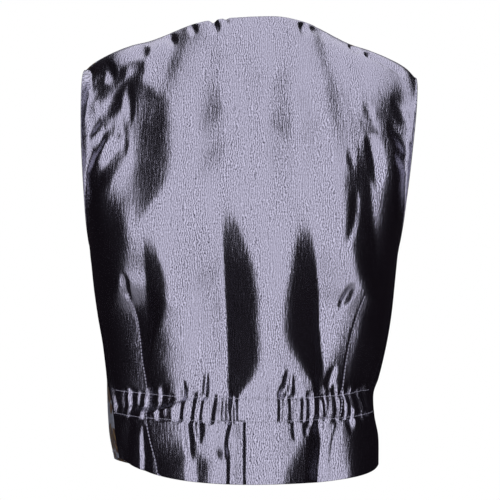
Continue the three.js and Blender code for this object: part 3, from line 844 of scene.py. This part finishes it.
middle_share = np.linspace(0.985, -0.985, 200)
across_back = [np.interp(-share_at, -back_shares, back_base[CASING_ROW, :, 0]) for share_at in middle_share]
rows = []
for line in casing_rows(middle_share):
    rows.append(sewn_line(list(zip(across_back, line))))
for dart in DARTS:
    down = np.linspace(0.02, 0.94, 60)
    bow = 4 * dart.bow * down * (1 - down)
    along = dart.x_top + (dart.x_foot - dart.x_top) * down + bow
    rows.append(sewn_line(list(zip(along, dart.z_top + (dart.z_foot - dart.z_top) * down)), *DART_STITCH))
stitches = join_rows("casing_and_dart_stitches", rows, thread)
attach(stitches, "root")
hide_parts("back")

# %% [markdown]
# ## The fronts
# Each front is cut from patterned cloth, from the side seam to an edge just past the centre. The left
# one lies over the right one, and both end in a point below. They follow the same sections as the back.

# %% Curves over the chest
CHEST = [
    Handle(0, 30, 52, 22, 66, 26),
    Handle(0.35, 22, 58, 18, 26, 84),
    Handle(0.7, 20, 62, 22, -14, 94),
    Handle(1, 30, 60, 50, -40, 92),
]
SEAM_GAP = 0.4
OVERLAP = 17
POINT_AT = 0.75
LAP_RISE = 2.7
LAP_BLEND = 0.2
FRONT_COLUMNS = 110
FRONT_LEVEL_ROW = 28
front_levels = np.concatenate([
    np.linspace(0, 3, 16)[:-1],
    np.linspace(3, 8, 25)[:-1],
    np.linspace(8, ARMHOLE_LEVEL, 30),
])
front_steps = np.linspace(0, 1, 46)[1:]


def front_place(level, share, side):
    """share is 0 at the side seam and 1 at the front edge; side is 1 on the left and -1 on the right."""
    at_side = read(ROWS, "level", level, "left" if side > 0 else "right")
    z = at_side + (read(ROWS, "level", level, "front") - at_side) * ease(share)
    start = seam_angle(z, side) + SEAM_GAP / read(TORSO, "z", z, "back")
    past_centre = OVERLAP / read(TORSO, "z", z, "left")
    points = torso(z, side * (start + (math.pi + past_centre - start) * share))
    toward_side = (np.clip(share, 0, POINT_AT) / POINT_AT) ** 1.3
    toward_edge = (1 - share) / (1 - POINT_AT)
    drop = read(ROWS, "level", level, "point")
    points[..., 2] -= drop * np.where(share < POINT_AT, toward_side, toward_edge)
    return points


def front_grid(side):
    shares = np.linspace(0, 1, FRONT_COLUMNS)
    whole = np.full(FRONT_COLUMNS, float(ARMHOLE_LEVEL))
    foot = front_place(whole, shares, side)
    below = front_place(whole - 1, shares, side)
    inward = front_place(whole, shares + 0.02, side)
    top = top_line(side * (SHOULDER_HALF + (NECK_HALF - SHOULDER_HALF) * shares))
    top[:, 1] -= 1.5 * SEAM_GAP
    leave = np.stack([
        -side * read(CHEST, "across", shares, "leave_in"),
        -read(CHEST, "across", shares, "leave_out"),
        -read(CHEST, "across", shares, "leave_down"),
    ], -1)
    chest = curves(
        foot, below, inward, top, leave,
        read(CHEST, "across", shares, "arrive_up"), read(CHEST, "across", shares, "arrive_in"), front_steps,
    )
    lower = np.stack([front_place(np.full(FRONT_COLUMNS, level), shares, side) for level in front_levels])
    return np.concatenate([lower, chest]), shares


# %% Drag folds of the fronts
FRONT_FOLDS = [
    Fold(124, -160, 66, -340, -3, 3, 28, 28, 0, 1, 60, 60, 2),
    Fold(144, -300, 132, -570, -2, 5, 28, 24, 0, 1, 90, 20, 2),
    Fold(74, -320, 84, -570, 1, 4, 24, 26, 0, 1, 90, 20, 2),
]


def front_outside(side):
    grid, shares = front_grid(side)
    x, z = grid[..., 0] * side, grid[..., 2]
    share = np.broadcast_to(shares, x.shape)
    push = np.zeros_like(x)
    for fold in FRONT_FOLDS:
        push -= large_fold(fold, x, z)
    push *= ease(share / 0.1) * ease((-z - 30) / 90)
    if side > 0:
        push += LAP_RISE * ease((share - (1 - 2 * LAP_BLEND)) / LAP_BLEND) * ease((-z - 100) / 100)
        grid, push = grid[:, ::-1], push[:, ::-1]
    flat = flat_map(grid, FRONT_COLUMNS // 2, FRONT_LEVEL_ROW)
    return grid + normals(grid) * push[..., None], flat


# %% [markdown]
# ## Patterned cloth
# The fronts are jacquard: brown and ochre leaves woven on a grey-blue ribbed ground. The leaves here
# are a plain made-up spray, repeated in a half-drop, at the scale of what shows in the photograph.

# %% Leaf jacquard
REPEAT_WIDE = 46 * MM
REPEAT_HIGH = 57 * MM
SEAM_SHIFT = (11 * MM, 30 * MM, 0)
RIB = 1.5 * MM
RIB_HEIGHT = 0.25 * MM
WANDER = 3.0 * MM
VEIN_WIDE = 0.16
Leaf = namedtuple("Leaf", "x y turn long wide")
LEAVES = [
    Leaf(-0.14, 0.20, 30, 0.20, 0.16),
    Leaf(0.16, 0.13, -34, 0.19, 0.15),
    Leaf(-0.02, -0.03, 4, 0.20, 0.14),
    Leaf(-0.25, -0.10, 58, 0.17, 0.12),
    Leaf(0.23, -0.12, -60, 0.16, 0.12),
    Leaf(0.02, -0.31, 14, 0.13, 0.10),
]

jacquard = bpy.data.materials.new("leaf_jacquard")
jacquard.use_nodes = True
tree = jacquard.node_tree
shader = tree.nodes["Principled BSDF"]
shader.inputs["Roughness"].default_value = 0.62
shader.inputs["Sheen Weight"].default_value = 0.15
place = node(tree, "ShaderNodeUVMap", uv_map="cloth").outputs[0]
wander = node(tree, "ShaderNodeTexNoise", {"Vector": place, "Scale": 90.0, "Detail": 1.0})
half_way = (0.5, 0.5, 0.5)
centred = node(tree, "ShaderNodeVectorMath", {0: wander.outputs["Color"], 1: half_way}, operation="SUBTRACT")
nudge = node(tree, "ShaderNodeVectorMath", {0: centred.outputs[0], "Scale": WANDER}, operation="SCALE")
matched = node(tree, "ShaderNodeVectorMath", {0: place, 1: SEAM_SHIFT}, operation="ADD")
placed = node(tree, "ShaderNodeVectorMath", {0: matched.outputs[0], 1: nudge.outputs[0]}, operation="ADD")
split = node(tree, "ShaderNodeSeparateXYZ", {0: placed.outputs[0]})
across = figure(tree, "DIVIDE", split.outputs[0], REPEAT_WIDE)
half_drop = figure(tree, "MULTIPLY", figure(tree, "FLOOR", across), 0.5)
dropped = figure(tree, "ADD", figure(tree, "DIVIDE", split.outputs[1], REPEAT_HIGH), half_drop)
cell_place = {0: figure(tree, "FRACT", across), 1: figure(tree, "FRACT", dropped)}
cell = node(tree, "ShaderNodeCombineXYZ", cell_place).outputs[0]
leaf_shape = None
vein_shape = None
for leaf in LEAVES:
    middle = (0.5 + leaf.x, 0.5 + leaf.y, 0)
    shifted = node(tree, "ShaderNodeVectorMath", {0: cell, 1: middle}, operation="SUBTRACT")
    swing = {"Vector": shifted.outputs[0], "Angle": math.radians(leaf.turn)}
    turned = node(tree, "ShaderNodeVectorRotate", swing, rotation_type="Z_AXIS")
    parts = node(tree, "ShaderNodeSeparateXYZ", {0: turned.outputs[0]})
    along = figure(tree, "DIVIDE", parts.outputs[1], leaf.long)
    half = figure(tree, "SUBTRACT", 1.0, figure(tree, "MULTIPLY", along, along))
    off = figure(tree, "DIVIDE", figure(tree, "ABSOLUTE", parts.outputs[0]), leaf.wide)
    inside = figure(tree, "SUBTRACT", half, off)
    vein = figure(tree, "MULTIPLY", figure(tree, "LESS_THAN", off, VEIN_WIDE), inside)
    if leaf_shape is None:
        leaf_shape, vein_shape = inside, vein
    else:
        leaf_shape = figure(tree, "MAXIMUM", leaf_shape, inside)
        vein_shape = figure(tree, "MAXIMUM", vein_shape, vein)
leaf_edge = {"Value": leaf_shape, "From Min": 0.0, "From Max": 0.12}
leaf_mask = node(tree, "ShaderNodeMapRange", leaf_edge).outputs[0]
vein_edge = {"Value": vein_shape, "From Min": 0.02, "From Max": 0.2}
vein_mask = node(tree, "ShaderNodeMapRange", vein_edge).outputs[0]
rib_wave = {"Vector": place, "Scale": 1 / RIB / WAVES_TO_THE_UNIT}
ribs = node(tree, "ShaderNodeTexWave", rib_wave, bands_direction="Y").outputs[1]
ground = blend(tree, ribs, linear("#747982"), linear("#b4b9c1"))
leaves = blend(tree, wander.outputs[0], linear("#3a2618"), linear("#64452a"))
woven = blend(tree, leaf_mask, ground, leaves)
veined = blend(tree, vein_mask, woven, linear("#8f7547"))
tree.links.new(veined, shader.inputs["Base Color"])
raised = figure(tree, "ADD", ribs, leaf_mask)
relief = node(tree, "ShaderNodeBump", {"Height": raised, "Strength": 0.8, "Distance": RIB_HEIGHT})
tree.links.new(relief.outputs[0], shader.inputs["Normal"])

# %% Place the fronts
FRONT_CLOTH = 1.7
fronts = {}
for side, name, under in ((1, "front_left", "front_right"), (-1, "front_right", "back")):
    outside, flat = front_outside(side)
    fronts[name] = outside
    front = cloth("patterned_" + name, outside, flat, FRONT_CLOTH, jacquard)
    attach(front, "root")
    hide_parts(name)

# %% [markdown]
# The front edges, the hem and the armholes are held by a row of stitches. The left front has a worked
# buttonhole at each button, a slit whose lips are wound with thread.

# %% Sew the fronts
EDGE_IN = 4
HOLE_HALF = 9
HOLE_LIP = 1.0
HOLE_BLUNT = 0.2
HOLE_FROM_BUTTON = 6.5
LIP_STITCH = (0.9, 1.1, 0.62)
ARMHOLE_ROW = 68
BUTTON_HEIGHTS = np.linspace(-292, -492, 5)


def nearest(grid, facing, place):
    row, column = np.unravel_index(np.argmin(((grid - place) ** 2).sum(-1)), grid.shape[:2])
    here = facing[row, column]
    return place - here * np.dot(place - grid[row, column], here), here


rows = []
for name, outside in fronts.items():
    facing = normals(outside)
    edge, seam = (EDGE_IN, -2) if name == "front_left" else (-1 - EDGE_IN, 1)
    rows.append(stitch_row(outside[2:-2, edge], facing[2:-2, edge]))
    rows.append(stitch_row(outside[3, 3:-3], facing[3, 3:-3]))
    rows.append(stitch_row(outside[ARMHOLE_ROW:-2, seam], facing[ARMHOLE_ROW:-2, seam]))
edge_stitches = join_rows("front_edge_stitches", rows, thread)
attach(edge_stitches, "root")
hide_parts("front_left", "front_right")

left_front = fronts["front_left"]
left_facing = normals(left_front)
rows = []
for height in BUTTON_HEIGHTS:
    centre = torso(height, math.pi) + np.array([HOLE_FROM_BUTTON, -LAP_RISE, 0])
    turn = np.linspace(0, 2 * math.pi, 90)
    along = HOLE_HALF * (HOLE_BLUNT * np.cos(turn) ** 3 + (1 - HOLE_BLUNT) * np.cos(turn))
    oval = np.stack([along, 0 * turn, HOLE_LIP * np.sin(turn)], -1)
    line = [nearest(left_front, left_facing, centre + step) for step in oval]
    points, facing = (np.array(part) for part in zip(*line))
    rows.append(stitch_row(points, facing, *LIP_STITCH))
holes = join_rows("worked_buttonholes", rows, thread)
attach(holes, "root")
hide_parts("front_left")

# %% [markdown]
# ## Buttons
# The buttons are horn-like resin, turned with a raised rim and a dished middle with four holes, and
# sewn on with two bars of thread.

# %% Turned buttons
BUTTON_OFF = 0.6
DISH = 5.7
DISH_LEVEL = 1.9
HOLE_RADIUS = 0.85
HOLE_AWAY = 1.55
HOLE_DEEP = 1.5
TURNED = [
    (0, 0), (6.8, 0), (7.5, 0.25), (7.9, 0.8), (8, 1.3), (7.95, 1.9),
    (7.7, 2.35), (7.2, 2.6), (6.6, 2.55), (6.1, 2.25), (DISH, 1.95),
]
SEGMENTS = 72
BUTTON_STITCH = (1.4, 4.45, 0.42)

horn = bpy.data.materials.new("turned_horn_resin")
horn.use_nodes = True
tree = horn.node_tree
shader = tree.nodes["Principled BSDF"]
shader.inputs["Roughness"].default_value = 0.28
shader.inputs["IOR"].default_value = 1.54
place = node(tree, "ShaderNodeTexCoord")
streak_map = node(tree, "ShaderNodeMapping", {"Vector": place.outputs["Object"], "Scale": (1.0, 1.0, 0.25)})
streaks = {"Vector": streak_map.outputs[0], "Scale": 420.0, "Detail": 3.0, "Distortion": 0.8}
streak = node(tree, "ShaderNodeTexNoise", streaks)
tone = blend(tree, streak.outputs[0], linear("#1c110b"), linear("#5b3a22"))
tree.links.new(tone, shader.inputs["Base Color"])

turns = np.arange(SEGMENTS) * 2 * math.pi / SEGMENTS
profile = TURNED + [(radius, DISH_LEVEL) for radius in np.arange(5.4, 0.1, -0.2)]
button_points = []
for radius, height in profile[1:]:
    for turn in turns:
        a, b = radius * math.cos(turn), radius * math.sin(turn)
        in_hole = math.hypot(abs(a) - HOLE_AWAY, abs(b) - HOLE_AWAY) < HOLE_RADIUS
        button_points.append((a, b, height - (HOLE_DEEP if in_hole and radius < DISH else 0)))
rings = len(profile) - 1
underside = tuple(range(SEGMENTS - 1, -1, -1))
middle_of_dish = tuple((rings - 1) * SEGMENTS + k for k in range(SEGMENTS))
button_faces = [underside, middle_of_dish]
for ring in range(rings - 1):
    for k in range(SEGMENTS):
        a, b = ring * SEGMENTS + k, ring * SEGMENTS + (k + 1) % SEGMENTS
        button_faces.append((a, b, b + SEGMENTS, a + SEGMENTS))
button_points = np.array(button_points)

for number, height in enumerate(BUTTON_HEIGHTS, 1):
    slope = torso(height + 4, math.pi) - torso(height - 4, math.pi)
    out = unit(np.cross(slope, np.array([-1.0, 0, 0])))
    side_way = np.array([1.0, 0, 0])
    up_way = np.cross(out, side_way)
    centre = torso(height, math.pi) + out * (LAP_RISE + BUTTON_OFF)
    spun = centre + button_points @ np.stack([side_way, up_way, out])
    mesh = bpy.data.meshes.new(f"turned_button_{number}")
    mesh.from_pydata((spun * MM).tolist(), [], button_faces)
    mesh.polygons.foreach_set("use_smooth", np.ones(len(button_faces), bool))
    mesh.materials.append(horn)
    mesh.update()
    turned = bpy.data.objects.new(f"turned_button_{number}", mesh)
    bpy.context.scene.collection.objects.link(turned)
    bars = []
    for sign in (-1, 1):
        reach = np.linspace(-1.25, 1.25, 7)[:, None]
        rise = DISH_LEVEL + 0.1 - HOLE_DEEP * (np.abs(reach) > 1.1)
        line = centre + HOLE_AWAY * (side_way * sign + up_way * reach) + out * rise
        bars.append(stitch_row(line, np.tile(out, (7, 1)), *BUTTON_STITCH))
    sewing = join_rows(f"button_thread_{number}", bars, thread)
    for piece in (turned, sewing):
        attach(piece, "root")
        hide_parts(f"button_{number}")
